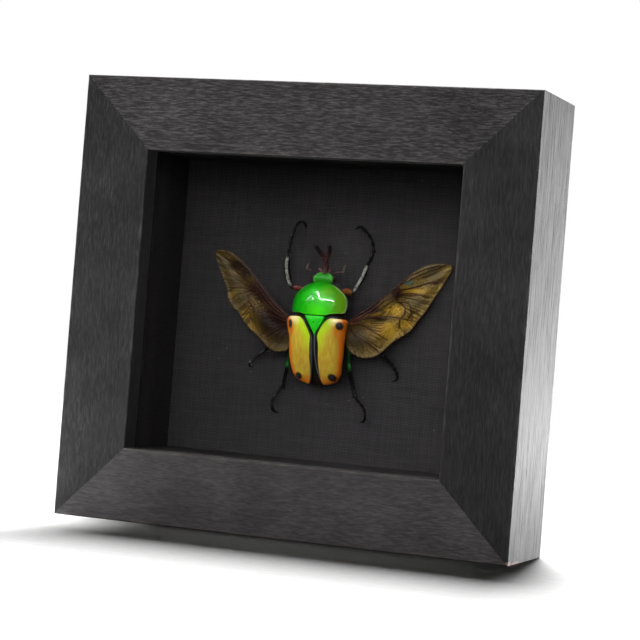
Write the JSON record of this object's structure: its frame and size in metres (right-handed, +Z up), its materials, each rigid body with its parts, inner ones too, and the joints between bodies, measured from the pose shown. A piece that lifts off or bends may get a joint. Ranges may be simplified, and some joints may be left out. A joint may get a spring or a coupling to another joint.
{
  "type": "framed beetle specimen",
  "caption": "Glazed shadow-box frame of black-stained wood with one pinned horned flower beetle, green shield, gold wing covers and spread amber hindwings on a dark linen board.",
  "frame": {"origin": "middle of the frame's base, at the centre of its depth with the hanger at the back included", "axes": "+Z up, the glazed front faces -Y, +X to the right of someone who looks at the front"},
  "size_m": [0.14, 0.0368, 0.131],
  "materials": {
    "black_stained_wood": "matte open-grain stain",
    "clear_glass": "clear polished",
    "black_spacer_board": "matte",
    "charcoal_linen_paper": "matte linen texture",
    "brown_hardboard": "pressed fibre",
    "zinc_plated_steel": "zinc plated",
    "beetle_body_black": "glossy chitin",
    "pronotum_green": "polished metallic green chitin",
    "head_green": "glossy green chitin, maroon horn",
    "elytra_gold": "satin gold chitin with black spots",
    "hindwing_amber": "wrinkled translucent membrane",
    "leg_black": "glossy black chitin",
    "pin_steel": "black enamelled"
  },
  "bodies": {
    "root": {"top_rail": "black_stained_wood", "bottom_rail": "black_stained_wood", "left_rail": "black_stained_wood", "right_rail": "black_stained_wood", "glass_pane": "clear_glass", "top_spacer": "black_spacer_board", "bottom_spacer": "black_spacer_board", "left_spacer": "black_spacer_board", "right_spacer": "black_spacer_board", "mount_board": "charcoal_linen_paper", "back_panel": "brown_hardboard", "top_left_point": "zinc_plated_steel", "top_right_point": "zinc_plated_steel", "bottom_left_point": "zinc_plated_steel", "bottom_right_point": "zinc_plated_steel", "sawtooth_hanger": "zinc_plated_steel", "left_hanger_nail": "zinc_plated_steel", "right_hanger_nail": "zinc_plated_steel", "body": "beetle_body_black", "pronotum": "pronotum_green", "head": "head_green", "left_elytron": "elytra_gold", "right_elytron": "elytra_gold", "left_hindwing": "hindwing_amber", "right_hindwing": "hindwing_amber", "left_foreleg": "leg_black", "right_foreleg": "leg_black", "left_midleg": "leg_black", "right_midleg": "leg_black", "left_hindleg": "leg_black", "right_hindleg": "leg_black", "pin": "pin_steel"}
  },
  "joints": []
}
